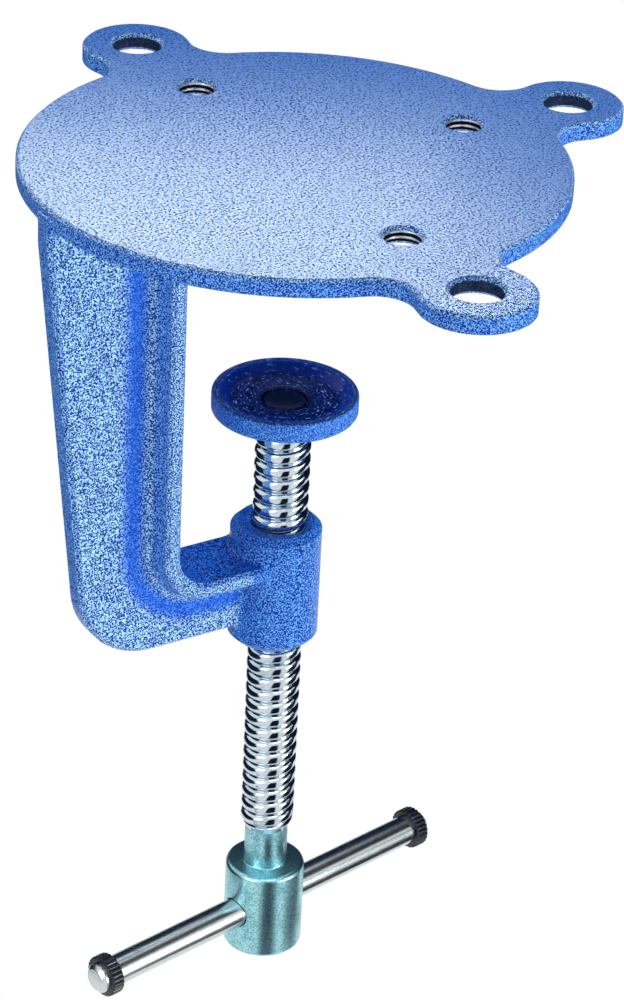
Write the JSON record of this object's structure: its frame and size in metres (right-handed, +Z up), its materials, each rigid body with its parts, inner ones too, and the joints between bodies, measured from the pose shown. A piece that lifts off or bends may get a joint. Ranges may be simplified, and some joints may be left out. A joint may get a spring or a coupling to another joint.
{
  "type": "vise mounting clamp",
  "caption": "Cast C-frame bench clamp with a round eared plate that carries a small vise, gripped from below by a screw with a swivel pad and a sliding tommy bar.",
  "frame": {"origin": "centre of the mounting plate's top face, on the axis of the screw", "axes": "+Z up out of the plate's top face, -X toward the arm of the C-frame, +X toward the front ear, +Y completes the right-handed frame"},
  "size_m": [0.1447, 0.1674, 0.2057],
  "materials": {
    "blue_enamel": "hammered blue enamel on grey cast iron, semi-gloss",
    "pad_enamel": "smooth blue enamel, semi-gloss",
    "plated_screw": "bright plated thread with a satin neck and hub",
    "bar_steel": "satin drawn steel",
    "black_ring": "blackened steel, semi-gloss"
  },
  "bodies": {
    "frame": {"clamp_frame": "blue_enamel"},
    "pad": {"swivel_pad": "pad_enamel"},
    "screw": {"clamp_screw": "plated_screw"},
    "bar": {"tommy_bar": "bar_steel", "end_ring_near": "black_ring", "end_ring_far": "black_ring"}
  },
  "joints": [
    {"name": "pad_travel", "type": "slide", "parent": "frame", "child": "pad", "axis": [0, 0, 1], "range_m": [-0.0245, 0.049]},
    {"name": "screw_turn", "type": "hinge", "parent": "pad", "child": "screw", "pos_m": [0, 0, -0.12], "axis": [0, 0, 1], "range_deg": [-2520, 5040]},
    {"name": "bar_slide", "type": "slide", "parent": "screw", "child": "bar", "axis": [0.9826, 0.1857, 0], "range_m": [-0.0375, 0.0375]}
  ],
  "couplings": [
    {"joint": "pad_travel", "follows": "screw_turn", "m_per_rad": 0.00055704}
  ]
}
